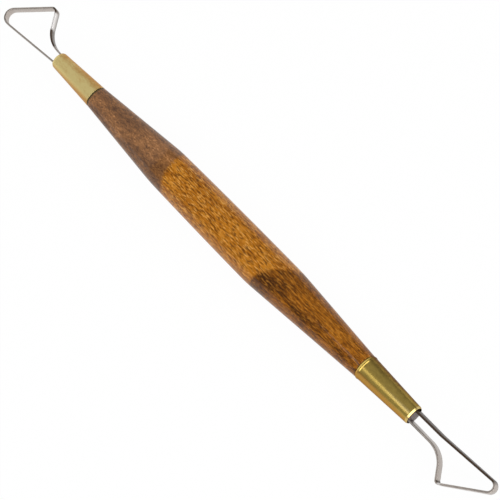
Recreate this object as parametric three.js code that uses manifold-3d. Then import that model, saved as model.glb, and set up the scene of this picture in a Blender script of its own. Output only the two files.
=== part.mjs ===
// A double-ended ribbon tool for trimming clay: a turned hardwood handle with a bent ribbon of
// flat steel at each end, held by its two tangs between the wood and a tapered brass ferrule.
// Millimetres, +Z up. The tool lies along X with its large loop at +X, resting on its handle.

import * as THREE from "three";
import { mergeVertices } from "three/addons/utils/BufferGeometryUtils.js";
import Module from "manifold-3d";

const wasm = await Module();
wasm.setup();

// Handle: a barrel-shaped dowel, then a cone turned on each end. The dowel sat a little askew
// in the lathe, so the ridge where the large end's cone begins runs obliquely round it.
const woodLength = 114.2; // bare wood, from one ferrule to the other
const dowelRadius = 6.5; // at its fullest point
const fullestAt = 15; // from the middle of the wood towards the large loop
const barrelDrop = 0.35; // how much thinner the dowel is at the small end's ridge
const ridgeAt = 31.8; // that ridge's distance from the small ferrule
const dowelSkew = THREE.MathUtils.degToRad(0.46);
const spigotProud = 0.2; // the spigots' ends stand this far out of the ferrules
const spigotRound = 0.35; // rounding of those ends
const shoulderRound = 0.18; // rounding of the wood's edge beside each ferrule

// Fits between wood, ribbons and ferrules.
const ribbonEdgeRound = 0.07;
const ferruleWall = 0.25;
const spigotClearance = 0.06; // all round the spigot in its ferrule
const seatClearance = 0.05; // all round a tang in its seat
const shoulderGap = 0.12; // from the ferrule's edge to the wood's shoulder
const tangLength = 11; // of each tang inside its ferrule
const easeRadius = 5; // of the slight bends where the legs leave a ferrule and where they splay

// The two ends. Angles are in degrees and belong to the loop, which leaves the ferrule with a
// straight leg on one side and a back leg on the other:
// tipReach is from the ferrule's mouth to where the straight leg and the cutting edge would meet,
// legRun is how far the straight leg goes before it splays, heelOut is the heel's distance from
// the axis, kneeShare is how much of the back leg, from the mouth to the knee, the knee's bend
// takes up, and an inset is how far inside the ferrule's wall a leg lies at the mouth. The loop
// is twisted about the axis, by tangTwist in the ferrule, changing to tipTwist at the tip.
const smallEnd = {
  name: "small",
  ferruleLength: 16.8,
  mouthRadius: 2.55,
  ferruleRadius: 3.45,
  collarLength: 0,
  collarRise: 0,
  woodRadius: 3.45,
  woodTaper: 0.0877,
  ribbonThickness: 0.5,
  ribbonWidth: 2.9,
  legInset: 0,
  legRun: 0.75,
  legSplay: 4.8,
  tipReach: 26.47,
  tipRadius: 2.5,
  edgeAngle: 43,
  heelOut: 10.17,
  heelRadius: 1.2,
  heelAngle: 56.2,
  kneeShare: 0.69,
  backInset: 0,
  backToe: 2.2,
  tangTwist: 0,
  tipTwist: 0,
};
const largeEnd = {
  name: "large",
  ferruleLength: 19.7,
  mouthRadius: 2.9,
  ferruleRadius: 3.82,
  collarLength: 2,
  collarRise: 0.12,
  woodRadius: 3.78,
  woodTaper: 0.0728,
  ribbonThickness: 0.6,
  ribbonWidth: 3.4,
  legInset: 0.1,
  legRun: 9.75,
  legSplay: 3.4,
  tipReach: 34.95,
  tipRadius: 1.8,
  edgeAngle: 33.65,
  heelOut: 8.59,
  heelRadius: 1,
  heelAngle: 54.1,
  kneeShare: 0.33,
  backInset: 0.04,
  backToe: 0.4,
  tangTwist: 11.5,
  tipTwist: 4.5,
};

// Fineness of the round surfaces.
const turnedSides = 96;
const ferruleSides = 80;
const barrelSteps = 18;
const roundSteps = 4;
const bendStep = THREE.MathUtils.degToRad(5);

const cutMargin = 1; // how far a cutting solid runs past what it cuts
const sliverSize = 0.003; // facets thinner than this, left where the cones meet the dowel, are dropped

const hardwood = new THREE.MeshStandardMaterial({ color: 0xb0712a, roughness: 0.35 });
const satinBrass = new THREE.MeshStandardMaterial({ color: 0xc8b375, roughness: 0.4, metalness: 1 });
const polishedBrass = new THREE.MeshStandardMaterial({ color: 0xa88a3e, roughness: 0.2, metalness: 1 });
const ribbonSteel = new THREE.MeshStandardMaterial({ color: 0xb5aaa2, roughness: 0.3, metalness: 1 });

// Solid of a closed three.js geometry.
function solid(geometry) {
  const bare = geometry.clone();
  bare.deleteAttribute("normal");
  bare.deleteAttribute("uv");
  const merged = mergeVertices(bare, 1e-5);
  return new wasm.Manifold(
    new wasm.Mesh({
      numProp: 3,
      vertProperties: merged.attributes.position.array,
      triVerts: new Uint32Array(merged.index.array),
    }),
  );
}

// Three.js geometry of a solid, with flat-shaded facets.
function geometryOf(made) {
  const mesh = made.getMesh();
  const geometry = new THREE.BufferGeometry();
  geometry.setAttribute("position", new THREE.BufferAttribute(mesh.vertProperties, 3));
  geometry.setIndex(new THREE.BufferAttribute(mesh.triVerts, 1));
  const facets = geometry.toNonIndexed();
  facets.computeVertexNormals();
  return facets;
}

// A turned solid along X from a profile of (x, radius) points, listed with x rising
// along the outside.
function turned(profile, sides) {
  const points = profile.map(([x, radius]) => new THREE.Vector2(radius, x));
  const geometry = new THREE.LatheGeometry(points, sides);
  geometry.rotateZ(-Math.PI / 2);
  return geometry;
}

// Quarter-round steps from one direction to another about a centre, as (x, radius) points.
function quarter(x, radius, round, from, to) {
  return Array.from({ length: roundSteps + 1 }, (_, step) => {
    const angle = from + ((to - from) * step) / roundSteps;
    return [x + round * Math.cos(angle), radius + round * Math.sin(angle)];
  });
}

// Slope of a ferrule's wall: how much its radius grows for each millimetre away from the mouth.
function ferruleSlope(end) {
  return (end.ferruleRadius - end.mouthRadius) / end.ferruleLength;
}

// A leg's distance from the axis at the mouth, where its outer corners just clear the wall.
function legOffset(end, inset) {
  const bore = end.mouthRadius - ferruleWall;
  const reach = Math.sqrt(bore ** 2 - (end.ribbonWidth / 2) ** 2);
  return reach - end.ribbonThickness / 2 - seatClearance - inset;
}

// Ferrule, with its mouth at x = 0 and its wide end at -x. The mouth's rim is rounded over, and
// a collar, where there is one, swells round the wide end.
function ferruleGeometry(end) {
  const { ferruleLength: length, mouthRadius, ferruleRadius, collarLength, collarRise } = end;
  const slope = ferruleSlope(end);
  const collar = Array.from({ length: collarLength > 0 ? 2 * roundSteps + 1 : 0 }, (_, step) => {
    const along = step / (2 * roundSteps);
    const x = -length + collarLength * along;
    return [x, mouthRadius - slope * x + collarRise * Math.sin(Math.PI * along) ** 0.5];
  });
  const outside = collarLength > 0 ? collar : [[-length, ferruleRadius]];
  const rim = quarter(-ferruleWall, mouthRadius - ferruleWall, ferruleWall, Math.PI / 2, 0);
  const inside = [[-length, ferruleRadius - ferruleWall]];
  const profile = [...outside, ...rim, ...inside, outside[0]];
  return turned(profile, ferruleSides);
}

// Corner points of a loop's centre line, with a bend radius at each, from the end of the
// straight leg's tang round to the end of the back leg's tang. x points out of the mouth, and
// the heel lies towards -y.
function loopCorners(end) {
  const rad = THREE.MathUtils.degToRad;
  const leg = legOffset(end, end.legInset);
  const back = -legOffset(end, end.backInset);
  const flare = ferruleSlope(end) * tangLength;
  const tip = new THREE.Vector2(end.tipReach, leg);
  tip.y += Math.tan(rad(end.legSplay)) * (end.tipReach - end.legRun);
  const heel = new THREE.Vector2(tip.x, -end.heelOut);
  heel.x -= (tip.y - heel.y) / Math.tan(rad(end.edgeAngle));
  const heelSlope = -Math.tan(rad(end.heelAngle));
  const toeSlope = -Math.tan(rad(end.backToe));
  const kneeX = (back - heel.y + heelSlope * heel.x) / (heelSlope - toeSlope);
  const kneeBend = (end.kneeShare * kneeX) / Math.tan(rad(end.heelAngle - end.backToe) / 2);
  return [
    { x: -tangLength, y: leg + flare },
    { x: 0, y: leg, bend: easeRadius },
    { x: end.legRun, y: leg, bend: easeRadius },
    { x: tip.x, y: tip.y, bend: end.tipRadius },
    { x: heel.x, y: heel.y, bend: end.heelRadius },
    { x: kneeX, y: back + toeSlope * kneeX, bend: kneeBend },
    { x: 0, y: back, bend: easeRadius },
    { x: -tangLength, y: back - flare },
  ];
}

// Arcs that round the inner corners of a centre line: centre, radius, the angle of the first
// tangent point, and the sweep from there to the second, positive for a turn to the left.
function bendsOf(corners) {
  return corners.slice(1, -1).map((corner, i) => {
    const here = new THREE.Vector2(corner.x, corner.y);
    const into = new THREE.Vector2(corner.x - corners[i].x, corner.y - corners[i].y).normalize();
    const away = new THREE.Vector2(corners[i + 2].x - corner.x, corners[i + 2].y - corner.y).normalize();
    const sweep = Math.atan2(into.cross(away), into.dot(away));
    const turn = Math.sign(sweep);
    const inwards = new THREE.Vector2(-into.y, into.x).multiplyScalar(turn);
    const start = here.clone().addScaledVector(into, -corner.bend * Math.tan(Math.abs(sweep) / 2));
    const centre = start.clone().addScaledVector(inwards, corner.bend);
    const from = start.clone().sub(centre).angle();
    return { centre, radius: corner.bend, from, sweep, turn };
  });
}

// Points along an arc of the given radius round a bend's centre.
function arcPoints({ centre, from, sweep }, radius) {
  const steps = Math.ceil(Math.abs(sweep) / bendStep);
  return Array.from({ length: steps + 1 }, (_, step) => {
    const angle = from + (sweep * step) / steps;
    return new THREE.Vector2(Math.cos(angle), Math.sin(angle)).multiplyScalar(radius).add(centre);
  });
}

// Outline of a strip bent along a centre line, seen edge-on.
function stripOutline(corners, thickness) {
  const bends = bendsOf(corners);
  const [first, second] = corners;
  const [beforeLast, last] = corners.slice(-2);
  const beside = (a, b, point, distance) =>
    new THREE.Vector2(a.y - b.y, b.x - a.x).setLength(Math.abs(distance))
      .multiplyScalar(Math.sign(distance)).add(point);
  const edge = (offset) => [
    beside(first, second, first, offset),
    ...bends.flatMap((bend) => arcPoints(bend, bend.radius - bend.turn * offset)),
    beside(beforeLast, last, last, offset),
  ];
  const half = thickness / 2;
  return new THREE.Shape([...edge(half), ...edge(-half).toReversed()]);
}

// Turns every point of a loop about the axis by its own share of the loop's twist.
function twisted(geometry, end) {
  const { position } = geometry.attributes;
  const axis = new THREE.Vector3(1, 0, 0);
  const point = new THREE.Vector3();
  for (let i = 0; i < position.count; i += 1) {
    point.fromBufferAttribute(position, i);
    const along = THREE.MathUtils.clamp(point.x / end.tipReach, 0, 1);
    const turn = THREE.MathUtils.lerp(end.tangTwist, end.tipTwist, along);
    point.applyAxisAngle(axis, THREE.MathUtils.degToRad(turn));
    position.setXYZ(i, point.x, point.y, point.z);
  }
  return geometry;
}

// Ribbon loop: one strip of flat steel with rounded edges, bent to the loop and its two tangs.
function ribbonGeometry(end) {
  const geometry = new THREE.ExtrudeGeometry(stripOutline(loopCorners(end), end.ribbonThickness), {
    depth: end.ribbonWidth - 2 * ribbonEdgeRound,
    bevelThickness: ribbonEdgeRound,
    bevelSize: ribbonEdgeRound,
    bevelOffset: -ribbonEdgeRound,
    bevelSegments: 2,
  });
  geometry.translate(0, 0, ribbonEdgeRound - end.ribbonWidth / 2);
  return twisted(geometry, end);
}

// What is cut from a spigot for one tang: a flat-bottomed seat, open outwards. side is +1 for
// the straight leg's tang and -1 for the back leg's.
function seatGeometry(end, side, inset) {
  const floor = side * (legOffset(end, inset) - end.ribbonThickness / 2 - seatClearance);
  const open = side * (end.ferruleRadius + cutMargin);
  const deep = tangLength + seatClearance;
  const flare = side * ferruleSlope(end) * deep;
  const outline = new THREE.Shape();
  outline.moveTo(cutMargin, floor);
  outline.lineTo(0, floor);
  outline.lineTo(-deep, floor + flare);
  outline.lineTo(-deep, open);
  outline.lineTo(cutMargin, open);
  outline.closePath();
  const depth = end.ribbonWidth + 2 * seatClearance;
  const geometry = new THREE.ExtrudeGeometry(outline, { depth, bevelEnabled: false });
  geometry.translate(0, 0, -depth / 2);
  geometry.rotateX(THREE.MathUtils.degToRad(end.tangTwist));
  return geometry;
}

// Half of the turned handle's profile, from the middle of the wood out to a spigot's end:
// (distance from the middle, radius) points.
function turnedEnd(end, middleRadius, middleAt) {
  const shoulder = woodLength / 2;
  const ferruleEdge = shoulder + shoulderGap;
  const bore = (x) => {
    const fromMouth = ferruleEdge + end.ferruleLength - x;
    return end.mouthRadius - ferruleWall + ferruleSlope(end) * fromMouth - spigotClearance;
  };
  const tipAt = ferruleEdge + end.ferruleLength + spigotProud;
  const tipRadius = bore(tipAt - spigotProud);
  return [
    [middleAt, middleRadius],
    ...quarter(shoulder - shoulderRound, end.woodRadius - shoulderRound, shoulderRound, Math.PI / 2, 0),
    [shoulder, bore(shoulder)],
    ...quarter(tipAt - spigotRound, tipRadius - spigotRound, spigotRound, Math.PI / 2, 0),
    [tipAt, 0],
  ];
}

// Handle: the cones and spigots as one turned solid, cut down to the askew dowel, with a seat
// for each tang.
function handleGeometry(seats) {
  const woodEnd = woodLength / 2;
  const grow = (end) => end.woodRadius + end.woodTaper * woodEnd;
  const crossing = (grow(largeEnd) - grow(smallEnd)) / (smallEnd.woodTaper + largeEnd.woodTaper);
  const crossingRadius = grow(smallEnd) + smallEnd.woodTaper * crossing;
  const outwards = turnedEnd(largeEnd, crossingRadius, crossing);
  const inwards = turnedEnd(smallEnd, crossingRadius, -crossing)
    .map(([x, radius]) => [-x, radius])
    .toReversed();
  const cones = solid(turned([...inwards.slice(0, -1), ...outwards], turnedSides));
  const reach = woodEnd + largeEnd.ferruleLength + smallEnd.ferruleLength;
  const drop = barrelDrop / (fullestAt + woodEnd - ridgeAt) ** 2;
  const barrel = Array.from({ length: barrelSteps + 1 }, (_, step) => {
    const x = fullestAt + reach * ((2 * step) / barrelSteps - 1);
    return [x, dowelRadius - drop * (x - fullestAt) ** 2];
  });
  const ends = [
    [barrel[0][0], 0],
    [barrel[barrelSteps][0], 0],
  ];
  const dowel = turned([ends[0], ...barrel, ends[1]], turnedSides);
  const pivot = ridgeAt - woodEnd;
  dowel.translate(-pivot, 0, 0);
  dowel.rotateZ(-dowelSkew);
  dowel.translate(pivot, 0, 0);
  const wood = seats.reduce((left, seat) => left.subtract(solid(seat)), cones.intersect(solid(dowel)));
  return geometryOf(wood.simplify(sliverSize));
}

function mesh(name, geometry, material) {
  const made = new THREE.Mesh(geometry, material);
  made.name = name;
  return made;
}

// Ferrule and loop of one end, in a group whose x axis points out of the ferrule's mouth.
function endGroup(end, brass, heading) {
  const group = new THREE.Group();
  const mouthAt = woodLength / 2 + shoulderGap + end.ferruleLength;
  group.position.set(mouthAt * Math.cos(heading), 0, 0);
  group.rotation.z = heading;
  group.add(mesh(`${end.name}_ferrule`, ferruleGeometry(end), brass));
  group.add(mesh(`${end.name}_ribbon_loop`, ribbonGeometry(end), ribbonSteel));
  group.updateMatrixWorld(true);
  const seats = [
    seatGeometry(end, 1, end.legInset),
    seatGeometry(end, -1, end.backInset),
  ].map((seat) => seat.applyMatrix4(group.matrixWorld));
  return { group, seats };
}

const small = endGroup(smallEnd, satinBrass, Math.PI);
const large = endGroup(largeEnd, polishedBrass, 0);

const tool = new THREE.Group();
tool.add(mesh("handle", handleGeometry([...small.seats, ...large.seats]), hardwood));
tool.add(small.group, large.group);

// The tool is set down on z = 0, with the middle of its outline over the origin.
const outline = new THREE.Box3().setFromObject(tool, true);
const centre = outline.getCenter(new THREE.Vector3());
tool.position.set(-centre.x, -centre.y, -outline.min.z);

const ribbonTool = new THREE.Group();
ribbonTool.add(tool);

export default ribbonTool;
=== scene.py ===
# %% [markdown]
# A double-ended ribbon tool for trimming clay. Its handle is turned from a light hardwood dowel and
# stained dark on its two tapers, each end carries a brass ferrule, and each ferrule holds a loop of
# flat steel ribbon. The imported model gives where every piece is; this script gives each piece a
# smooth surface and the finish of the real one, then sets the light and the camera.

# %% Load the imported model
import math

import bpy
import numpy as np
from mathutils import Matrix, Vector


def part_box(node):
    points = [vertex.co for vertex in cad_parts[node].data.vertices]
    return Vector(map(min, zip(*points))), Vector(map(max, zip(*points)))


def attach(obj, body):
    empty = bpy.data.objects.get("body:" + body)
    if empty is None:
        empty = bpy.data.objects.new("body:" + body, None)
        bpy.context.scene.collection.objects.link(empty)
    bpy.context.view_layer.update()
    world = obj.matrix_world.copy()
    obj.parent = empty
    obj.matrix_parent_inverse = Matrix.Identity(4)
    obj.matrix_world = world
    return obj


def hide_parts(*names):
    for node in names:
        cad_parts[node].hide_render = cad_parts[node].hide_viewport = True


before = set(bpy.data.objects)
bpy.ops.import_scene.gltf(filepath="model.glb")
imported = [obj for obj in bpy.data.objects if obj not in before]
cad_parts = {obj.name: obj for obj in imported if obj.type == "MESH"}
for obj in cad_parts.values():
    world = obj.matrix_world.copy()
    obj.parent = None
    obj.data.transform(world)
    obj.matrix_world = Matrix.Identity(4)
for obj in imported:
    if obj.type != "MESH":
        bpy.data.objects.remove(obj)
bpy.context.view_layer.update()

# %% [markdown]
# All shapes below are worked out in millimetres, along the tool's own axis: x runs from the middle
# of the wood towards the large loop, and y and z are measured from the axis. The places come from
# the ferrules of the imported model, so nothing has to be fitted by hand.

# %% Where the tool's axis, its wood and its two mouths are
MM = 0.001
SHOULDER_GAP = 0.12  # from each ferrule's edge to the wood

small_low, small_high = (np.array(corner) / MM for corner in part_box("small_ferrule"))
large_low, large_high = (np.array(corner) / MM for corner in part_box("large_ferrule"))
wood_from = small_high[0] + SHOULDER_GAP
wood_to = large_low[0] - SHOULDER_GAP
HALF_WOOD = (wood_to - wood_from) / 2
ORIGIN = np.array([(wood_from + wood_to) / 2, *(large_low + large_high)[1:] / 2])
print("wood", round(2 * HALF_WOOD, 2), "mm long, origin of the tool's axis at", ORIGIN.round(3))

# %% [markdown]
# A few helpers serve every material. A colour is written as the hex value a paint program shows and
# turned to the linear values that the renderer adds up. One function adds a node, sets it and links
# it, and another puts the finished material on its pieces.

# %% Helpers for materials
def srgb(code, alpha=1.0):
    """Linear RGBA of an sRGB hex colour: c/12.92 to 0.04045, and ((c + 0.055)/1.055)^2.4 above."""
    channels = [int(code[i:i + 2], 16) / 255 for i in (1, 3, 5)]
    linear = [c / 12.92 if c <= 0.04045 else ((c + 0.055) / 1.055) ** 2.4 for c in channels]
    return (*linear, alpha)


def add(tree, kind, settings=None, inputs=None, output=None):
    """Adds a node, sets its settings and inputs, and returns the named or first output. A socket is
    linked and a value is set. An input is named, or numbered where two share a name. A colour
    ramp's stops are (position, hex value)."""
    node = tree.nodes.new("ShaderNode" + kind)
    for name, value in (settings or {}).items():
        if name == "stops":
            ramp = node.color_ramp
            while len(ramp.elements) < len(value):
                ramp.elements.new(0.5)
            for element, (position, code) in zip(ramp.elements, value):
                element.position = position
                element.color = srgb(code)
        else:
            setattr(node, name, value)
    for name, value in (inputs or {}).items():
        if isinstance(name, int):
            socket = node.inputs[name]
        else:
            socket = next(s for s in node.inputs if s.enabled and s.name == name)
        if isinstance(value, bpy.types.NodeSocket):
            tree.links.new(value, socket)
        else:
            socket.default_value = value
    return next((s for s in node.outputs if s.enabled and output in (None, s.name)), None)


def new_material(name):
    """An empty node material and its node tree."""
    material = bpy.data.materials.new(name)
    material.use_nodes = True
    material.node_tree.nodes.clear()
    return material, material.node_tree


def finished(material, shader, *pieces):
    """Gives a material its shader and puts it on the pieces that are made of it."""
    add(material.node_tree, "OutputMaterial", inputs={"Surface": shader})
    for made in pieces:
        made.data.materials.append(material)
    print(material.name, "has", len(material.node_tree.nodes), "nodes")


# %% [markdown]
# Every new piece is one grid of points: each row is a ring round the piece, and the rows follow one
# another along it. The helper joins the rows by four-sided faces, closes the ends, makes sure that
# the faces point outwards, and keeps measures such as the distance along a strip as attributes.

# %% Helper that turns a grid of points into a piece
def piece(name, grid, wrap=False, attributes=None, sharp=40):
    """Mesh of a grid (rows, points in a row, 3) in millimetres from the tool's axis. Rows close on
    themselves. Ends are closed by a fan to their middle, or with wrap the last row joins the first.
    The signed volume, the sum of a.(b x c)/6 over the triangles, tells which way faces point."""
    rows, around = grid.shape[:2]
    index = np.arange(rows * around).reshape(rows, around)
    here = index if wrap else index[:-1]
    there = np.roll(index, -1, axis=0) if wrap else index[1:]
    quads = np.stack([here, np.roll(here, -1, 1), np.roll(there, -1, 1), there], -1).reshape(-1, 4)
    points = grid.reshape(-1, 3)
    triangles = np.empty((0, 3), int)
    if not wrap:
        points = np.vstack([points, grid[0].mean(0), grid[-1].mean(0)])
        first, last = index[0], index[-1]
        start = np.stack([np.roll(first, -1), first, np.full(around, rows * around)], 1)
        end = np.stack([last, np.roll(last, -1), np.full(around, rows * around + 1)], 1)
        triangles = np.vstack([start, end])
    split = np.vstack([quads[:, [0, 1, 2]], quads[:, [0, 2, 3]], triangles])
    a, b, c = (points[split[:, i]] for i in range(3))
    volume = np.einsum("ij,ij->i", a, np.cross(b, c)).sum() / 6
    if volume < 0:
        quads, triangles = quads[:, ::-1], triangles[:, ::-1]
    mesh = bpy.data.meshes.new(name)
    mesh.from_pydata(((points + ORIGIN) * MM).tolist(), [], quads.tolist() + triangles.tolist())
    for title, values in (attributes or {}).items():
        values = np.broadcast_to(values, (rows, around, 3))
        flat = values.reshape(-1, 3)
        if not wrap:
            flat = np.vstack([flat, values[0].mean(0), values[-1].mean(0)])
        mesh.attributes.new(title, "FLOAT_VECTOR", "POINT").data.foreach_set(
            "vector", flat.astype(np.float32).ravel())
    mesh.polygons.foreach_set("use_smooth", np.ones(len(mesh.polygons), bool))
    mesh.set_sharp_from_angle(angle=math.radians(sharp))
    mesh.update()
    made = bpy.data.objects.new(name, mesh)
    bpy.context.scene.collection.objects.link(made)
    print(name, "volume", round(abs(volume), 1), "mm3,", len(split), "triangles")
    return made


# %% [markdown]
# The two ends differ only in their sizes. A loop leaves its ferrule with a straight leg on one
# side and a back leg on the other, so the same few lengths and angles that a toolmaker would set
# describe both: reach, splay, cutting angle, heel, knee and bend radii.

# %% Sizes of the two ends, in millimetres and degrees
WALL = 0.25  # of the ferrules
SEAT_CLEARANCE = 0.05  # round a tang
SPIGOT_CLEARANCE = 0.06  # round a spigot
TANG = 11.0  # length of a tang inside its ferrule
# heading: the end's direction along x. ferrule: its length. mouth, wide: its outer radii. collar,
# rise: its bead's length and height. wood: the cone's radius at the shoulder. taper: the cone's
# growth for each millimetre. ribbon, width: the strip's thickness and width. leg_inset, back_inset:
# how far a leg is moved inwards. leg_run: how far the straight leg goes on before it splays. reach:
# from the mouth to the tip. edge_angle: from the axis to the cutting edge. heel_out: from the axis
# to the heel. heel_angle, back_toe: the back leg's slant behind the heel and at the mouth.
# knee_share: how much of the back leg its bend takes. tang_twist, tip_twist: about the axis.
SMALL = dict(
    heading=-1, ferrule=16.8, mouth=2.55, wide=3.45, collar=0.0, rise=0.0, wood=3.45, taper=0.0877,
    ribbon=0.5, width=2.9, leg_inset=0.0, leg_run=0.75, splay=4.8, reach=26.47, tip_radius=2.5,
    edge_angle=43.0, heel_out=10.17, heel_radius=1.2, heel_angle=56.2, knee_share=0.69,
    back_inset=0.0, back_toe=2.2, tang_twist=0.0, tip_twist=0.0)
LARGE = dict(
    heading=1, ferrule=19.7, mouth=2.9, wide=3.82, collar=1.1, rise=0.125, wood=3.78, taper=0.0728,
    ribbon=0.6, width=3.4, leg_inset=0.1, leg_run=9.75, splay=3.4, reach=34.95, tip_radius=1.8,
    edge_angle=33.65, heel_out=8.59, heel_radius=1.0, heel_angle=54.1, knee_share=0.33,
    back_inset=0.04, back_toe=0.4, tang_twist=11.5, tip_twist=4.5)


def slope(end):
    """How much a ferrule's radius grows for each millimetre away from its mouth."""
    return (end["wide"] - end["mouth"]) / end["ferrule"]


def leg_offset(end, inset):
    """A leg's distance from the axis at the mouth, where its outer corners just clear the wall."""
    reach = math.sqrt((end["mouth"] - WALL) ** 2 - (end["width"] / 2) ** 2)
    return reach - end["ribbon"] / 2 - SEAT_CLEARANCE - inset


def placed(points, end):
    """Points given from a mouth, x pointing out of it, moved to the tool's axis: the small end is
    turned half round about z."""
    turned = points * [end["heading"], end["heading"], 1]
    turned[..., 0] += end["heading"] * (HALF_WOOD + SHOULDER_GAP + end["ferrule"])
    return turned


# %% [markdown]
# The handle is a hardwood dowel with a cone turned on each end. The dowel is a little barrel-shaped
# and sat slightly askew in the lathe, so the ridge where the large cone begins runs obliquely round
# it. Rings of points follow the wood: each ring's radius is the smaller of the cone's and the
# dowel's, and a soft minimum rounds the ridge as sanding does.

# %% Radius of the wood
DOWEL = 6.5  # radius of the dowel at its fullest
FULLEST_AT = 15.0  # x of that place
PIVOT = -25.3  # x where the dowel is centred, close to the small cone's ridge
BARREL = 0.35 / (FULLEST_AT - PIVOT) ** 2  # the radius is 0.35 smaller at the pivot
SKEW = math.tan(math.radians(0.46))  # lean of the dowel towards -y, along x
RIDGE_ROUND = 0.05


def dowel_radius(x, angle):
    """Radius, seen from the tool's axis, of the askew barrel: c.cos(a) + sqrt(R^2 - (c.sin(a))^2),
    with c the barrel's offset towards y at x, and R = 6.5 - k(x - 15)^2 its own radius."""
    offset = -SKEW * (x - PIVOT)
    own = DOWEL - BARREL * (x - FULLEST_AT) ** 2
    return offset * np.cos(angle) + np.sqrt(own ** 2 - (offset * np.sin(angle)) ** 2)


def cone_radius(x, end):
    """Radius of one end's cone, which grows evenly from the shoulder."""
    return end["wood"] + end["taper"] * (HALF_WOOD - end["heading"] * x)


def wood_radius(x, angle):
    """Soft minimum of both cones and the dowel: -k.log(sum of exp(-r/k))."""
    radii = np.stack([cone_radius(x, SMALL) + 0 * angle, cone_radius(x, LARGE) + 0 * angle,
                      dowel_radius(x, angle)])
    least = radii.min(0)
    return least - RIDGE_ROUND * np.log(np.exp((least - radii) / RIDGE_ROUND).sum(0))


# %% [markdown]
# Inside each ferrule the wood goes on as a spigot, cut flat on two sides where the tangs lie. Only
# its end shows, standing a little proud in the mouth between the legs.

# %% Radius of a spigot
SPIGOT_PROUD = 0.2
SPIGOT_ROUND = 0.35


def spigot_radius(depth, angle, end):
    """Radius at a depth inside the mouth: the ferrule's bore less the clearance, rounded off at the
    end, and cut to the seats' flats, where the radius is distance/cos(angle from the seat)."""
    bore = end["mouth"] - WALL + slope(end) * np.maximum(depth, 0) - SPIGOT_CLEARANCE
    past = np.clip(SPIGOT_ROUND - SPIGOT_PROUD - depth, 0, SPIGOT_ROUND)
    radius = bore - SPIGOT_ROUND + np.sqrt(SPIGOT_ROUND ** 2 - past ** 2) + 0 * angle
    in_seat = depth < TANG + SEAT_CLEARANCE
    for side, inset in ((1, end["leg_inset"]), (-1, end["back_inset"])):
        flat = leg_offset(end, inset) - end["ribbon"] / 2 - SEAT_CLEARANCE + slope(end) * depth
        towards = math.radians(end["tang_twist"]) + (0 if side * end["heading"] > 0 else math.pi)
        away = np.abs((angle - towards + np.pi) % (2 * np.pi) - np.pi)
        half_width = end["width"] / 2 + SEAT_CLEARANCE
        cut = in_seat & (away < np.arctan2(half_width, flat))
        on_flat = flat / np.maximum(np.cos(away), 0.1)  # kept finite on the far side
        radius = np.where(cut, np.minimum(radius, on_flat), radius)
    return radius


# %% Rows of points of the handle
AROUND = 192  # points in a ring
ANGLES = np.arange(AROUND) * 2 * np.pi / AROUND
ROUND_STEPS = np.linspace(0, np.pi / 2, 6)
SHOULDER_ROUND = 0.18
MIDDLE_ROWS = 330
MIDDLE_INSET = 0.5  # from each shoulder to the first row of the middle


def spigot_rows(end):
    """Rows of (x, radius) from a spigot's end to the shoulder, close together where a seat ends."""
    rounding = SPIGOT_PROUD - SPIGOT_ROUND * (1 - np.cos(ROUND_STEPS[::-1]))
    depth = np.concatenate([
        -rounding[::-1], np.linspace(0.6, TANG - 0.1, 14), [TANG, TANG + 0.2],
        np.linspace(TANG + 1, end["ferrule"] + SHOULDER_GAP, 6)])
    x = end["heading"] * (HALF_WOOD + SHOULDER_GAP + end["ferrule"] - depth)
    return x[:, None] + 0 * ANGLES, spigot_radius(depth[:, None], ANGLES[None], end)


def shoulder_rows(end):
    """Rows round the wood's edge beside the ferrule: a quarter circle below the cone."""
    inwards = SHOULDER_ROUND * (1 - np.sin(ROUND_STEPS))[:, None]
    full = cone_radius(end["heading"] * (HALF_WOOD - inwards), end)
    x = end["heading"] * (HALF_WOOD - SHOULDER_ROUND * (1 - np.cos(ROUND_STEPS)))[:, None]
    return x + 0 * ANGLES, full - inwards + 0 * ANGLES


def middle_rows():
    """Rows along both cones and the dowel."""
    reach = HALF_WOOD - MIDDLE_INSET
    x = np.linspace(-reach, reach, MIDDLE_ROWS)[:, None] + 0 * ANGLES
    return x, wood_radius(x, ANGLES + 0 * x)


parts = [spigot_rows(SMALL), shoulder_rows(SMALL), middle_rows(),
         [rows[::-1] for rows in shoulder_rows(LARGE)], [rows[::-1] for rows in spigot_rows(LARGE)]]
wood_x, wood_r = (np.vstack([rows[i] for rows in parts]) for i in (0, 1))
wood_grid = np.stack([wood_x, wood_r * np.cos(ANGLES), wood_r * np.sin(ANGLES)], -1)
print("handle", len(wood_grid), "rows, at most", round(wood_r.max(), 2), "mm from the axis")

# %% [markdown]
# The stain follows the turning: the tapers were dipped, and the colour stops in a ragged line near
# each ridge. Each point keeps how far inside the stained zone it lies, in millimetres, for the wood
# material to read: x for the small end, y for the large end, and z for how far it lies beyond the
# wood's shoulder, where the spigot is coloured darker. At the small ferrule that darker colour
# reaches out of the joint by about half a millimetre; at the large one it stays inside.

# %% Make the handle, with its distance inside each stained zone
SMALL_STAIN_STOPS = -22.85  # x where the small end's stain stops, above the axis
SMALL_STAIN_SLANT = 0.24
LARGE_STAIN_LAG = 0.25  # from the large cone's ridge to its stain
LARGE_STAIN_SLANT = 0.22
SMALL_DARK_REACH = 0.3  # how far the spigot's darker colour reaches out of the small ferrule's joint
LARGE_DARK_INSET = 0.15  # and how far inside the large one it stays

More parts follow.
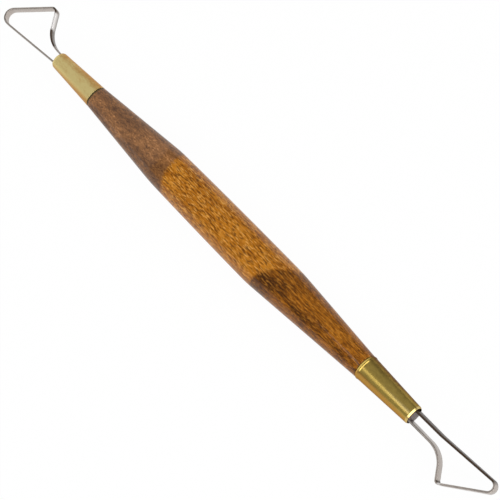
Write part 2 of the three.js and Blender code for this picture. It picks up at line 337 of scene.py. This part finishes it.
wood_y = wood_grid[..., 1]
past_small = SMALL_STAIN_STOPS - SMALL_STAIN_SLANT * wood_y - wood_x
past_ridge = (dowel_radius(wood_x, ANGLES[None]) - cone_radius(wood_x, LARGE)) / LARGE["taper"]
past_large = past_ridge - LARGE_STAIN_LAG - LARGE_STAIN_SLANT * np.maximum(0, -wood_y)
dark_reach = np.where(wood_x < 0, SMALL_DARK_REACH, -LARGE_DARK_INSET)
past_shoulder = np.abs(wood_x) - HALF_WOOD + dark_reach
stain = np.stack([past_small, past_large, past_shoulder], -1)
handle = piece("turned_handle", wood_grid, attributes={"stain": stain})
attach(handle, "root")
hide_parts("handle")

# %% [markdown]
# A ferrule is a tube spun from thin brass: a taper whose mouth is rounded over inwards. The large
# one has a shallow swollen collar at its wide end. Its section is drawn once, outside and inside,
# and turned about the axis, so the tube has a real wall and a bore.

# %% Make the ferrules
RIM_ROLL = 0.6  # length along which the mouth's rim is rolled inwards
RIM_CURVE = 1.3  # how much steeper the rim falls towards its end
LIP = 0.02  # what is left of the wall at the rim's end
WIDE_EDGE = 0.08  # rounding of a plain wide end


def ferrule_section(end):
    """Closed profile of (x, radius) from the mouth: the outside radius is mouth - slope.x plus the
    collar's bead, rise.sin^2(pi a). The rim falls by (wall - lip).u^1.3 over its length, and the
    bore lies a wall's thickness inside."""
    def outside(x):
        return end["mouth"] - slope(end) * x

    length = end["ferrule"]
    if end["collar"]:
        along = np.linspace(0, 1, 25)
        collar_x = -length + end["collar"] * along
        collar_r = outside(collar_x) + end["rise"] * np.sin(np.pi * along) ** 2
    else:
        edge = np.linspace(0, np.pi / 2, 5)
        collar_x = -length + WIDE_EDGE * (1 - np.cos(edge))
        collar_r = end["wide"] - WIDE_EDGE * (1 - np.sin(edge))
    body_x = np.linspace(collar_x[-1] + 0.2, -RIM_ROLL - 0.1, 30)
    u = np.linspace(0, 1, 13)
    rim_x = RIM_ROLL * (u - 1)
    rim_r = outside(rim_x) - (WALL - LIP) * u ** RIM_CURVE
    inner_x = np.linspace(0, -length, 12)
    return (np.concatenate([collar_x, body_x, rim_x, inner_x]),
            np.concatenate([collar_r, outside(body_x), rim_r, outside(inner_x) - WALL]))


def make_ferrule(name, end, sides=160):
    """The section turned about the axis: y = r.cos(a), z = r.sin(a)."""
    x, radius = (column[:, None] for column in ferrule_section(end))
    angle = np.arange(sides) * 2 * np.pi / sides
    grid = np.stack([x + 0 * angle, radius * np.cos(angle), radius * np.sin(angle)], -1)
    return piece(name, placed(grid, end), wrap=True, sharp=50)


small_ferrule = make_ferrule("spun_small_ferrule", SMALL)
large_ferrule = make_ferrule("spun_large_ferrule", LARGE)
for made, node, brass in ((small_ferrule, "small_ferrule", "satin_brass"),
                          (large_ferrule, "large_ferrule", "polished_brass")):
    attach(made, "root")
    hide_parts(node)

# %% [markdown]
# Each loop is one strip of flat spring steel, bent round six bends on a jig, its two ends pushed
# into the ferrule as tangs. The strip's centre line is made of straight runs and arcs, and a
# rounded rectangle is carried along it. The large loop is also slightly twisted about the tool's
# axis.

# %% Corners of a strip's centre line
EASE = 5.0  # bend radius at the mouth, where the leg leaves its seat


def strip_corners(end):
    """Corner points of the centre line, from the straight leg's tang to the back leg's, with the
    radius of the bend at each."""
    leg, back = leg_offset(end, end["leg_inset"]), -leg_offset(end, end["back_inset"])
    flare = slope(end) * TANG
    splay = math.tan(math.radians(end["splay"]))
    tip = (end["reach"], leg + splay * (end["reach"] - end["leg_run"]))
    edge_slope = math.tan(math.radians(end["edge_angle"]))
    heel = (tip[0] - (tip[1] + end["heel_out"]) / edge_slope, -end["heel_out"])
    heel_slope = -math.tan(math.radians(end["heel_angle"]))
    toe_slope = -math.tan(math.radians(end["back_toe"]))
    knee_x = (back - heel[1] + heel_slope * heel[0]) / (heel_slope - toe_slope)
    knee_bend = end["knee_share"] * knee_x / math.tan(
        math.radians(end["heel_angle"] - end["back_toe"]) / 2)
    corners = [(-TANG, leg + flare), (0, leg), (end["leg_run"], leg), tip, heel,
               (knee_x, back + toe_slope * knee_x), (0, back), (-TANG, back - flare)]
    return np.array(corners), [EASE, EASE, end["tip_radius"], end["heel_radius"], knee_bend, EASE]


# %% Arcs and straight runs of the centre line
BEND_STEP = math.radians(2.0)  # turn from one point of an arc to the next


def centre_line(end):
    """Points and headings along the centre line: each corner's arc starts and ends
    radius.tan(half the turn) from the corner, and straight runs join the arcs. Also each arc's
    middle point."""
    corners, radii = strip_corners(end)
    steps = np.diff(corners, axis=0)
    steps /= np.linalg.norm(steps, axis=1)[:, None]
    headings = np.unwrap(np.arctan2(steps[:, 1], steps[:, 0]))
    points, turns, middles = [corners[:1]], [headings[:1]], []
    for corner, radius, before, after in zip(corners[1:-1], radii, headings[:-1], headings[1:]):
        sign = np.sign(after - before)
        start = corner - radius * math.tan(abs(after - before) / 2) * np.array(
            [math.cos(before), math.sin(before)])
        centre = start + radius * sign * np.array([-math.sin(before), math.cos(before)])
        count = max(3, math.ceil(abs(after - before) / BEND_STEP))
        along = np.linspace(before, after, count + 1)
        arc = centre - radius * sign * np.stack([-np.sin(along), np.cos(along)], 1)
        points.append(arc)
        turns.append(along)
        middles.append(arc[count // 2])
    points.append(corners[-1:])
    turns.append(headings[-1:])
    return np.vstack(points), np.concatenate(turns), middles


def filled(points, turns, longest=0.3):
    """The same line with points added on the straight runs, no further apart than longest, and
    each point's distance along it."""
    gaps = np.linalg.norm(np.diff(points, axis=0), axis=1)
    along = np.concatenate([[0], np.cumsum(gaps)])
    extra = [np.linspace(a, b, math.ceil((b - a) / longest) + 1)[1:-1]
             for a, b in zip(along[:-1], along[1:]) if b - a > longest]
    full = np.sort(np.concatenate([along, *extra]))
    return (np.stack([np.interp(full, along, points[:, i]) for i in (0, 1)], 1),
            np.interp(full, along, turns), full)


# %% [markdown]
# Reflections on the steel are painted into its colour. Each point of a loop keeps three shares for
# the material: how far it is painted dark for a dark reflection, how far it is painted pale for a
# highlight, and how far it is painted grey for a grey reflection. They follow the distance along
# the strip from each bend, in millimetres.

# %% Painted reflections on the strip
NO_LIMIT = 99.0


def band(value, low, high, soft=0.5):
    """1 from low to high and 0 outside, each edge a smooth step (3s^2 - 2s^3) soft wide."""
    up, down = (np.clip((value - edge) / soft + 0.5, 0, 1) for edge in (low, high))
    return up * up * (3 - 2 * up) - down * down * (3 - 2 * down)


def small_reflection_paint(where, side, across):
    """The small loop's painted reflections: dark at its three bends and faintly along its top edge,
    a pale painted highlight on the leg behind the heel, and grey on the straight leg and along the
    back leg's lower edge."""
    outer, top = band(side, -NO_LIMIT, -0.3, 0.4), band(across, 0.93, NO_LIMIT, 0.06)
    dark = np.maximum.reduce([
        band(where["heel"], -0.7, 1.2, 0.6) * band(across, -0.5, NO_LIMIT, 0.5),
        band(where["tip"], -1.8, 1.8, 0.8) * outer,
        band(where["knee"], -3.1, 2.6, 0.8) * band(across, -0.6, NO_LIMIT, 0.3),
        0.15 * band(where["tip"], 1.5, NO_LIMIT, 1.0)
        * band(where["heel"], -NO_LIMIT, -0.5, 0.5) * top])
    pale = band(where["heel"], 1.3, 6.6, 0.6) * band(across, -0.55, NO_LIMIT, 0.25)
    grey = (0.2 * band(where["tip"], -NO_LIMIT, -1.8, 0.8)
            + band(where["heel"], 1.0, NO_LIMIT, 0.5) * (1 - band(across, -0.6, NO_LIMIT, 0.3)))
    return np.stack(np.broadcast_arrays(dark, pale, grey), -1)


def large_reflection_paint(where, side, across):
    """The large loop's painted reflections: dark along its straight leg and inside the heel, a pale
    painted highlight before the heel, and greyer towards the mouth."""
    dark = np.maximum.reduce([
        band(where["tip"], -NO_LIMIT, -1.2, 1.5) + 0 * side,
        band(where["heel"], -0.3, 0.7, 0.4) * band(side, 0.3, NO_LIMIT, 0.4)])
    pale = 0.6 * band(where["heel"], -1.3, -0.3, 0.5) + 0 * side
    grey = (0.15 * band(where["heel"], 0.5, NO_LIMIT, 0.5)
            + 0.35 * band(where["mouth"], -5.0, NO_LIMIT, 3.0) + 0 * side)
    return np.stack(np.broadcast_arrays(dark, pale, grey), -1)


# %% Sweep the strip and make the loops
EDGE_ROUND = 0.09


def strip_section(end):
    """Rounded rectangle of (across the thickness, across the width), starting on the inner face."""
    half = np.array([end["ribbon"] / 2 - EDGE_ROUND, end["width"] / 2 - EDGE_ROUND])
    quarter = np.linspace(0, np.pi / 2, 4)
    corners = []
    for signs, start in (((1, 1), 0), ((-1, 1), 1), ((-1, -1), 2), ((1, -1), 3)):
        angle = quarter + start * np.pi / 2
        corners.append(half * signs + EDGE_ROUND * np.stack([np.cos(angle), np.sin(angle)], 1))
    return np.vstack(corners)


def make_loop(name, end, reflection_paint):
    """The section carried along the centre line, across its direction of travel, and each point
    turned about the axis by its own share of the twist. The finish attribute holds the
    painted reflections, worked out from the distances along from each bend, the side (1 inner,
    -1 outer) and the place across (1 up)."""
    points, turns, middles = centre_line(end)
    points, turns, along = filled(points, turns)
    tip, heel, knee = (along[np.argmin(np.hypot(*(points - at).T))] for at in middles[2:5])
    mouth = along[-1] - TANG
    section = strip_section(end)
    normal = np.stack([-np.sin(turns), np.cos(turns)], 1)[:, None]
    flat = points[:, None] - normal * section[None, :, :1]
    height = np.broadcast_to(section[None, :, 1:], flat.shape[:2] + (1,))
    grid = np.concatenate([flat, height], -1)
    share = np.clip(grid[..., 0] / end["reach"], 0, 1)
    twist = np.radians(end["tang_twist"] + (end["tip_twist"] - end["tang_twist"]) * share)
    y, z = grid[..., 1].copy(), grid[..., 2].copy()
    grid[..., 1] = y * np.cos(twist) - z * np.sin(twist)
    grid[..., 2] = y * np.sin(twist) + z * np.cos(twist)
    where = {bend: along[:, None] - at
             for bend, at in (("tip", tip), ("heel", heel), ("knee", knee), ("mouth", mouth))}
    side = section[None, :, 0] / (end["ribbon"] / 2)
    across = section[None, :, 1] / (end["width"] / 2)
    print(name, "from its mouth: tip", round(tip - TANG, 1), "heel", round(heel - TANG, 1),
          "knee", round(knee - TANG, 1), "mouth again", round(mouth - TANG, 1), "mm along")
    return piece(name, placed(grid, end), attributes={"finish": reflection_paint(where, side, across)},
                 sharp=60)


small_loop = make_loop("bent_small_loop", SMALL, small_reflection_paint)
large_loop = make_loop("bent_large_loop", LARGE, large_reflection_paint)
for made, node in ((small_loop, "small_ribbon_loop"), (large_loop, "large_ribbon_loop")):
    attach(made, "root")
    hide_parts(node)

# %% [markdown]
# Wood, brass and steel all get their patterns from noise, stretched so that one blot has the size
# of a pore or a mark in millimetres. The helpers measure the place on the tool, stretch the noise,
# add several fields to one tone, and lay colours over one another.

# %% Helpers for the patterns
BLEND = {"data_type": "RGBA"}
SMOOTH = {"interpolation_type": "SMOOTHSTEP"}


def in_millimetres(tree):
    """Object coordinates moved to the tool's axis, in millimetres."""
    scale = 1 / MM
    return add(tree, "Mapping", inputs={
        "Vector": add(tree, "TexCoord", output="Object"), "Scale": (scale, scale, scale),
        "Location": tuple(-ORIGIN)})


def grain(tree, place, length, width, detail=2.0, roughness=0.5, shift=(0, 0, 0)):
    """Noise whose blots are about length by width millimetres, long way along the tool."""
    spread = add(tree, "Mapping", inputs={
        "Vector": place, "Scale": (0.5 / length, 0.5 / width, 0.5 / width), "Location": shift})
    return add(tree, "TexNoise", inputs={
        "Vector": spread, "Scale": 1.0, "Detail": detail, "Roughness": roughness}, output="Fac")


def tone(tree, level, *fields):
    """level plus, for each (field, weight), weight.(field - 0.5)."""
    total = level
    for field, weight in fields:
        off = add(tree, "Math", {"operation": "SUBTRACT"}, {0: field, 1: 0.5})
        total = add(tree, "Math", {"operation": "MULTIPLY_ADD"}, {0: off, 1: weight, 2: total})
    return total


def layered(tree, colour, *layers):
    """A colour with others laid over it in turn, each as (share, colour). A colour is a socket or
    a hex value."""
    for share, top in layers:
        under, top = (srgb(shade) if isinstance(shade, str) else shade for shade in (colour, top))
        colour = add(tree, "Mix", BLEND, {"Factor": share, "A": under, "B": top})
    return colour


# %% [markdown]
# The wood is a fine-grained hardwood under clear lacquer. Along the grain it shows short dark pores
# and paler flecks, long thin lines of fibre, and slow clouds of tone. The finest real pores are
# about a tenth of a millimetre wide, too fine to show, so they are drawn a little coarser. Where
# the grain is curly, the blots wander: the place that the noise reads is first pushed about by
# another noise.

# %% Grain of the hardwood
WANDER = 1.6  # how far the curly grain is pushed about, in millimetres

wood, tree = new_material("lacquered_hardwood")
place = in_millimetres(tree)
xyz = add(tree, "SeparateXYZ", inputs={"Vector": place}).node.outputs
pores = grain(tree, place, 0.85, 0.15, 1.0, 0.5, (3, 9, 1))
flecks = grain(tree, place, 0.9, 0.15, 1.0, 0.5, (7, 2, 5))
fibre = grain(tree, place, 5.0, 0.28, 2.0, 0.6)
clouds = grain(tree, place, 4.0, 1.6, 2.0, 0.5, (1, 4, 8))
lines = grain(tree, place, 9.0, 0.17, 1.0, 0.5, (5, 1, 2))
pushed = add(tree, "VectorMath", {"operation": "MULTIPLY_ADD"}, {
    0: add(tree, "TexNoise", inputs={"Vector": place, "Scale": 0.8, "Detail": 1.0}, output="Color"),
    1: (WANDER, WANDER, WANDER), 2: place})
curls = grain(tree, pushed, 0.9, 0.2, 1.0, 0.5, (2, 8, 3))


def with_pores(tree, wood_colour, fleck, pore, strength):
    """A wood colour with pale flecks and then dark pores laid over it."""
    return layered(
        tree, wood_colour,
        (add(tree, "MapRange", SMOOTH, {
            "Value": flecks, "From Min": 0.53, "From Max": 0.65, "To Max": strength}), fleck),
        (add(tree, "MapRange", SMOOTH, {
            "Value": pores, "From Min": 0.48, "From Max": 0.39, "To Max": strength}), pore))


# %% [markdown]
# Three colours share that grain. The bare middle is amber. The large taper's stain is a deep brown,
# darkest just past the ridge and along one side, with long lines through it. The small taper's
# stain is a greyer russet, and its grain is curly. Each comes from a colour ramp over its tone.

# %% Amber middle
amber = add(tree, "ValToRGB", {"stops": [
    (0.0, "#854c0e"), (0.35, "#a3620f"), (0.6, "#b06e16"), (1.0, "#c4822a")]}, {
    "Fac": tone(tree, 0.5, (clouds, 1.2), (fibre, 1.4))}, "Color")
amber = with_pores(tree, amber, "#d89c4a", "#552c02", 0.78)

# %% Brown stain of the large taper
zones = add(tree, "SeparateXYZ", inputs={
    "Vector": add(tree, "Attribute", {"attribute_name": "stain"}, output="Vector")}).node.outputs
beyond_ridge = add(tree, "MapRange", SMOOTH, {  # 0 near the ridge, so that it is darkest there
    "Value": zones["Y"], "From Min": 5.0, "From Max": 11.0, "To Min": 0.0, "To Max": 0.5})
side_tone = add(tree, "MapRange", SMOOTH, {  # darker on the side towards -y
    "Value": xyz["Y"], "From Min": -2.9, "From Max": 0.6, "To Min": 0.32, "To Max": 0.58})
edge_reflection_tone = add(tree, "MapRange", SMOOTH, {  # and a little lighter again at its edge, a painted reflection
    "Value": xyz["Y"], "From Min": -2.3, "From Max": -4.2, "To Min": 0.5, "To Max": 1.0})
brown_tone = tone(tree, side_tone, (edge_reflection_tone, 0.3), (lines, 1.2), (clouds, 0.7), (curls, 0.7),
                  (beyond_ridge, 0.5))
brown = add(tree, "ValToRGB", {"stops": [
    (0.0, "#3c2002"), (0.25, "#603503"), (0.5, "#854d07"), (0.75, "#9d5f10"), (1.0, "#b87822")]}, {
    "Fac": brown_tone}, "Color")
brown = with_pores(tree, brown, "#c07f2c", "#351b03", 0.45)

# %% Russet stain of the small taper
russet_level = add(tree, "MapRange", inputs={
    "Value": xyz["Y"], "From Min": -3.0, "From Max": 3.0, "To Min": 0.47, "To Max": 0.55})
russet = add(tree, "ValToRGB", {"stops": [
    (0.0, "#452612"), (0.3, "#5f3d20"), (0.5, "#764d29"), (0.75, "#8c5e34"), (1.0, "#b07a4a")]}, {
    "Fac": tone(tree, russet_level, (curls, 1.3), (clouds, 1.1))}, "Color")

# %% [markdown]
# Stain soaks further along open pores, so the line where each zone stops is made ragged by the
# grain itself. The lacquer over everything is a thin clear coat, smooth enough to mirror the pale
# floor with a crisp edge, and the wood beneath it has no gloss of its own. A faint bump lets the
# pores break the surface.

# %% Zones and lacquer
RAGGED = {"From Min": -0.5, "From Max": 0.7}  # how a zone fades in across its edge, in millimetres

soaked = tone(tree, 0.0, (pores, 3.0), (fibre, 2.0))
in_small, in_large = (
    add(tree, "MapRange", SMOOTH, {
        "Value": add(tree, "Math", {"operation": "ADD"}, {0: zones[part], 1: soaked}), **RAGGED})
    for part in ("X", "Y"))
# The spigot is coloured a dark brown, greyer at its end in the mouth, and this colour reaches a
# little past the small shoulder.
spigot_tone = layered(tree, "#4a380a", (add(tree, "MapRange", SMOOTH, {
    "Value": zones["Z"], "From Min": 12.0, "From Max": 14.0}), "#64534f"))
past_joint = add(tree, "MapRange", SMOOTH, {
    "Value": zones["Z"], "From Min": -0.28, "From Max": -0.12})
colour = layered(tree, amber, (in_small, russet), (in_large, brown), (past_joint, spigot_tone))
shader = add(tree, "BsdfPrincipled", inputs={
    "Base Color": colour, "Roughness": 0.55, "Specular IOR Level": 0.0,
    "Coat Weight": 0.6, "Coat Roughness": 0.12, "Coat IOR": 1.5,
    "Normal": add(tree, "Bump", inputs={"Strength": 0.1, "Distance": 0.00003, "Height": pores})})
finished(wood, shader, handle)

# %% [markdown]
# Both ferrules are brass. The small one is satin: fine scratches spread every reflection evenly,
# and its colour turns orange towards both flanks. The scratches themselves are far too fine to
# show, so their mottling is drawn a few tenths of a millimetre wide.

# %% Satin brass
satin, tree = new_material("scratched_satin_brass")
place = in_millimetres(tree)
xyz = add(tree, "SeparateXYZ", inputs={"Vector": place}).node.outputs
cloud = grain(tree, place, 2.5, 0.8, 2.0)
fine = grain(tree, place, 0.4, 0.25, 2.0, 0.5, (4, 4, 1))
near_flank = add(tree, "MapRange", SMOOTH, {"Value": xyz["Y"], "From Min": 0.3, "From Max": 3.0})
far_flank = add(tree, "MapRange", SMOOTH, {"Value": xyz["Y"], "From Min": -1.5, "From Max": -2.9})
flank_orange = add(tree, "Math", {"operation": "MAXIMUM"}, {
    0: tone(tree, near_flank, (cloud, 1.2), (fine, 0.9)), 1: far_flank})
shader = add(tree, "BsdfPrincipled", inputs={
    "Base Color": layered(tree, "#dcc98a", (flank_orange, "#bf8f4c")), "Metallic": 1.0,
    "Roughness": add(tree, "MapRange", inputs={"Value": fine, "To Min": 0.4, "To Max": 0.55})})
finished(satin, shader, small_ferrule)

# %% [markdown]
# The large ferrule was polished: its reflections are crisper, under a thin lacquer. The metal has
# dulled to a blotchy olive. Painted shade darkens its flanks, to brown on one and to copper on the
# other, and a pale painted highlight lies along the rim and on a line that leads up to it. Metal
# mirrors the pale floor at a grazing angle, and a brown specular tint keeps that from bleaching the
# edges.

# %% Polished brass, dulled, with painted shade on its flanks and a painted highlight
polished, tree = new_material("dulled_polished_brass")
place = in_millimetres(tree)
xyz = add(tree, "SeparateXYZ", inputs={"Vector": place}).node.outputs
cloud = grain(tree, place, 0.9, 0.6, 3.0)
fine = grain(tree, place, 0.35, 0.25, 2.0, 0.5, (4, 4, 1))
# Painted shade: the +y flank is painted a darker brown, over the blotchy dulling found all round,
# and the -y flank a darker copper, so that neither mirrors the pale floor brightly.
dulled_and_shaded_flank = add(tree, "MapRange", SMOOTH, {
    "Value": xyz["Y"], "From Min": 1.2, "From Max": 3.2, "To Min": 0.1, "To Max": 0.92})
shaded_copper_flank = add(tree, "MapRange", SMOOTH, {
    "Value": xyz["Y"], "From Min": -1.7, "From Max": -2.3})

# A painted highlight: pale along a line on the ferrule's top towards the mouth, and round its rim.
HIGHLIGHT_LINE_AT = -0.3  # y of the painted highlight line
mouth_x = HALF_WOOD + SHOULDER_GAP + LARGE["ferrule"]
aside = add(tree, "Math", {"operation": "ABSOLUTE"}, {
    0: add(tree, "Math", {"operation": "SUBTRACT"}, {0: xyz["Y"], 1: HIGHLIGHT_LINE_AT})})
painted_highlight_line = add(tree, "Math", {"operation": "MULTIPLY"}, {
    0: add(tree, "MapRange", SMOOTH, {"Value": aside, "From Min": 0.75, "From Max": 0.1}),
    1: add(tree, "MapRange", inputs={
        "Value": xyz["X"], "From Min": mouth_x - 12, "From Max": mouth_x - 1, "To Max": 0.6})})
painted_rim_highlight = add(tree, "MapRange", SMOOTH, {
    "Value": xyz["X"], "From Min": mouth_x - 0.8, "From Max": mouth_x - 0.5, "To Max": 0.5})
# olive brass with painted shade on both flanks, and the pale painted highlight over it
colour = layered(
    tree, "#dabb5e",
    (tone(tree, dulled_and_shaded_flank, (cloud, 0.5), (fine, 0.4)), "#634812"), (shaded_copper_flank, "#b4873c"),
    (add(tree, "Math", {"operation": "MAXIMUM"}, {0: painted_highlight_line, 1: painted_rim_highlight}), "#f7dd96"))
shader = add(tree, "BsdfPrincipled", inputs={
    "Base Color": colour, "Metallic": 1.0, "Roughness": 0.28, "Specular Tint": srgb("#b39a66"),
    "Coat Weight": 0.3, "Coat Roughness": 0.22, "Coat IOR": 1.5})
finished(polished, shader, large_ferrule)

# %% [markdown]
# The ribbon is cold-rolled spring steel: a satin face with fine marks along its length. Its
# reflections are painted into the colour: dark at the bends and along some legs, a pale painted
# highlight near the heel, and grey elsewhere. Where it is painted dark, the steel is also made less
# metallic, so that it mirrors little.

# %% Rolled ribbon steel
steel, tree = new_material("rolled_ribbon_steel")
place = in_millimetres(tree)
marks = grain(tree, place, 2.0, 0.2, 2.0)
shares = add(tree, "SeparateXYZ", inputs={
    "Vector": add(tree, "Attribute", {"attribute_name": "finish"}, output="Vector")}).node.outputs
# painted reflections laid over the steel: grey, a pale painted highlight, and dark, by the shares
# of finish
colour = layered(
    tree, "#b2a8a1",
    (add(tree, "MapRange", SMOOTH, {"Value": marks, "From Min": 0.3, "From Max": 0.7}), "#bfb5ad"),
    (shares["Z"], "#7f7b75"), (shares["Y"], "#f4f1ef"), (shares["X"], "#43352a"))
# less metallic where a dark reflection is painted
shader = add(tree, "BsdfPrincipled", inputs={
    "Base Color": colour, "Roughness": 0.35, "Specular IOR Level": 0.1,
    "Metallic": add(tree, "MapRange", inputs={
        "Value": shares["X"], "To Min": 1.0, "To Max": 0.15})})
finished(steel, shader, small_loop, large_loop)

# %% [markdown]
# The tool lies on a plain white floor. To the camera, and in reflections, the floor is mostly a
# plain white, and the rest of it is an ordinary matt surface that keeps the tool's soft shadow.

# %% Floor
FLOOR_WHITE = 0.97
FLOOR_HALF = 20.0  # half of the floor's side, in metres
FLOOR_DROP = 2e-5  # in metres, so that floor and tool never share a surface
corners = [(x * FLOOR_HALF, y * FLOOR_HALF, -FLOOR_DROP)
           for x, y in ((-1, -1), (1, -1), (1, 1), (-1, 1))]
floor_mesh = bpy.data.meshes.new("floor")
floor_mesh.from_pydata(corners, [], [(0, 1, 2, 3)])
floor = bpy.data.objects.new("floor", floor_mesh)
bpy.context.scene.collection.objects.link(floor)

paper, tree = new_material("white_paper")
rays = add(tree, "LightPath", output="Is Camera Ray").node.outputs
seen = rays["Is Camera Ray"]
for kind in ("Is Glossy Ray", "Is Transmission Ray"):
    seen = add(tree, "Math", {"operation": "MAXIMUM"}, {0: seen, 1: rays[kind]})
share = add(tree, "Math", {"operation": "MULTIPLY"}, {0: seen, 1: FLOOR_WHITE})
matt = add(tree, "BsdfDiffuse", inputs={"Color": srgb("#f2f2f2")})
white = add(tree, "Emission", inputs={"Color": srgb("#ffffff"), "Strength": 1.0})
finished(paper, add(tree, "MixShader", inputs={0: share, 1: matt, 2: white}), floor)

# %% [markdown]
# The light is a studio's: one softbox in front, a wide one behind, a low wall on one side that the
# brass mirrors along its flank, a small strip just above the large ferrule for the pale line along
# it, and a plain grey room. A lamp's power is worked out from how bright it should look, so that a
# colour renders about as it is written.

# %% Lamps and room
TARGET = Vector((ORIGIN * MM).tolist())


def softbox(name, direction, distance, size, radiance, shape="RECTANGLE"):
    """Area lamp facing the tool, in metres. Its power is radiance x pi x area."""
    lamp = bpy.data.lights.new(name, "AREA")
    lamp.shape = shape
    lamp.size, lamp.size_y = size
    area = size[0] * size[1] * (math.pi / 4 if shape == "DISK" else 1)
    lamp.energy = radiance * math.pi * area
    made = bpy.data.objects.new(name, lamp)
    towards = Vector(direction).normalized()
    made.location = TARGET + distance * towards
    made.rotation_euler = towards.to_track_quat("Z", "Y").to_euler()
    made.visible_camera = False
    bpy.context.scene.collection.objects.link(made)
    print(name, round(lamp.energy, 2), "W")


softbox("front_softbox", (0.62, 0.0, 0.78), 2.0, (5.0, 1.1), 3.3)
softbox("back_wall", (-1.0, 0.0, 0.0), 2.0, (6.4, 6.4), 0.75, "DISK")
softbox("low_side_wall", (-0.24, -0.96, 0.12), 2.0, (2.5, 0.48), 0.6)
softbox("near_strip", (0.194, -0.389, 0.900), 0.159, (0.024, 0.075), 1.7)

room = bpy.data.worlds.new("grey_room")
bpy.context.scene.world = room
room.use_nodes = True
tree = room.node_tree
tree.nodes.clear()
add(tree, "OutputWorld", inputs={"Surface": add(tree, "Background", inputs={
    "Color": srgb("#ffffff"), "Strength": 0.3})})

# %% [markdown]
# The photograph was taken with a long lens from above, a little towards the large loop's side, and
# the picture is turned so that the tool runs from the upper left to the lower right.

# %% Camera
LEAN = math.radians(22.7)  # from straight above towards the large loop
ROLL = math.radians(45.044)  # from the tool's axis to the picture's level
LENS = 230.4  # in millimetres, on a sensor 36 wide
DISTANCE = 0.8798  # in metres
LOOK_AT = TARGET + Vector((9.384, 0.270, 0.069)) * MM

away = Vector((math.sin(LEAN), 0, math.cos(LEAN)))
level = Vector((math.cos(LEAN), 0, -math.sin(LEAN)))
right = math.cos(ROLL) * level + math.sin(ROLL) * Vector((0, 1, 0))
up = away.cross(right)
camera = bpy.data.objects.new("camera", bpy.data.cameras.new("camera"))
camera.data.sensor_width = 36
camera.data.lens = LENS
camera.data.clip_start = 0.01
camera.matrix_world = Matrix.Translation(LOOK_AT + DISTANCE * away) @ Matrix(
    (right, up, away)).transposed().to_4x4()
bpy.context.scene.collection.objects.link(camera)
bpy.context.scene.camera = camera
bpy.context.scene.view_settings.view_transform = "Standard"
print("camera at", camera.location)
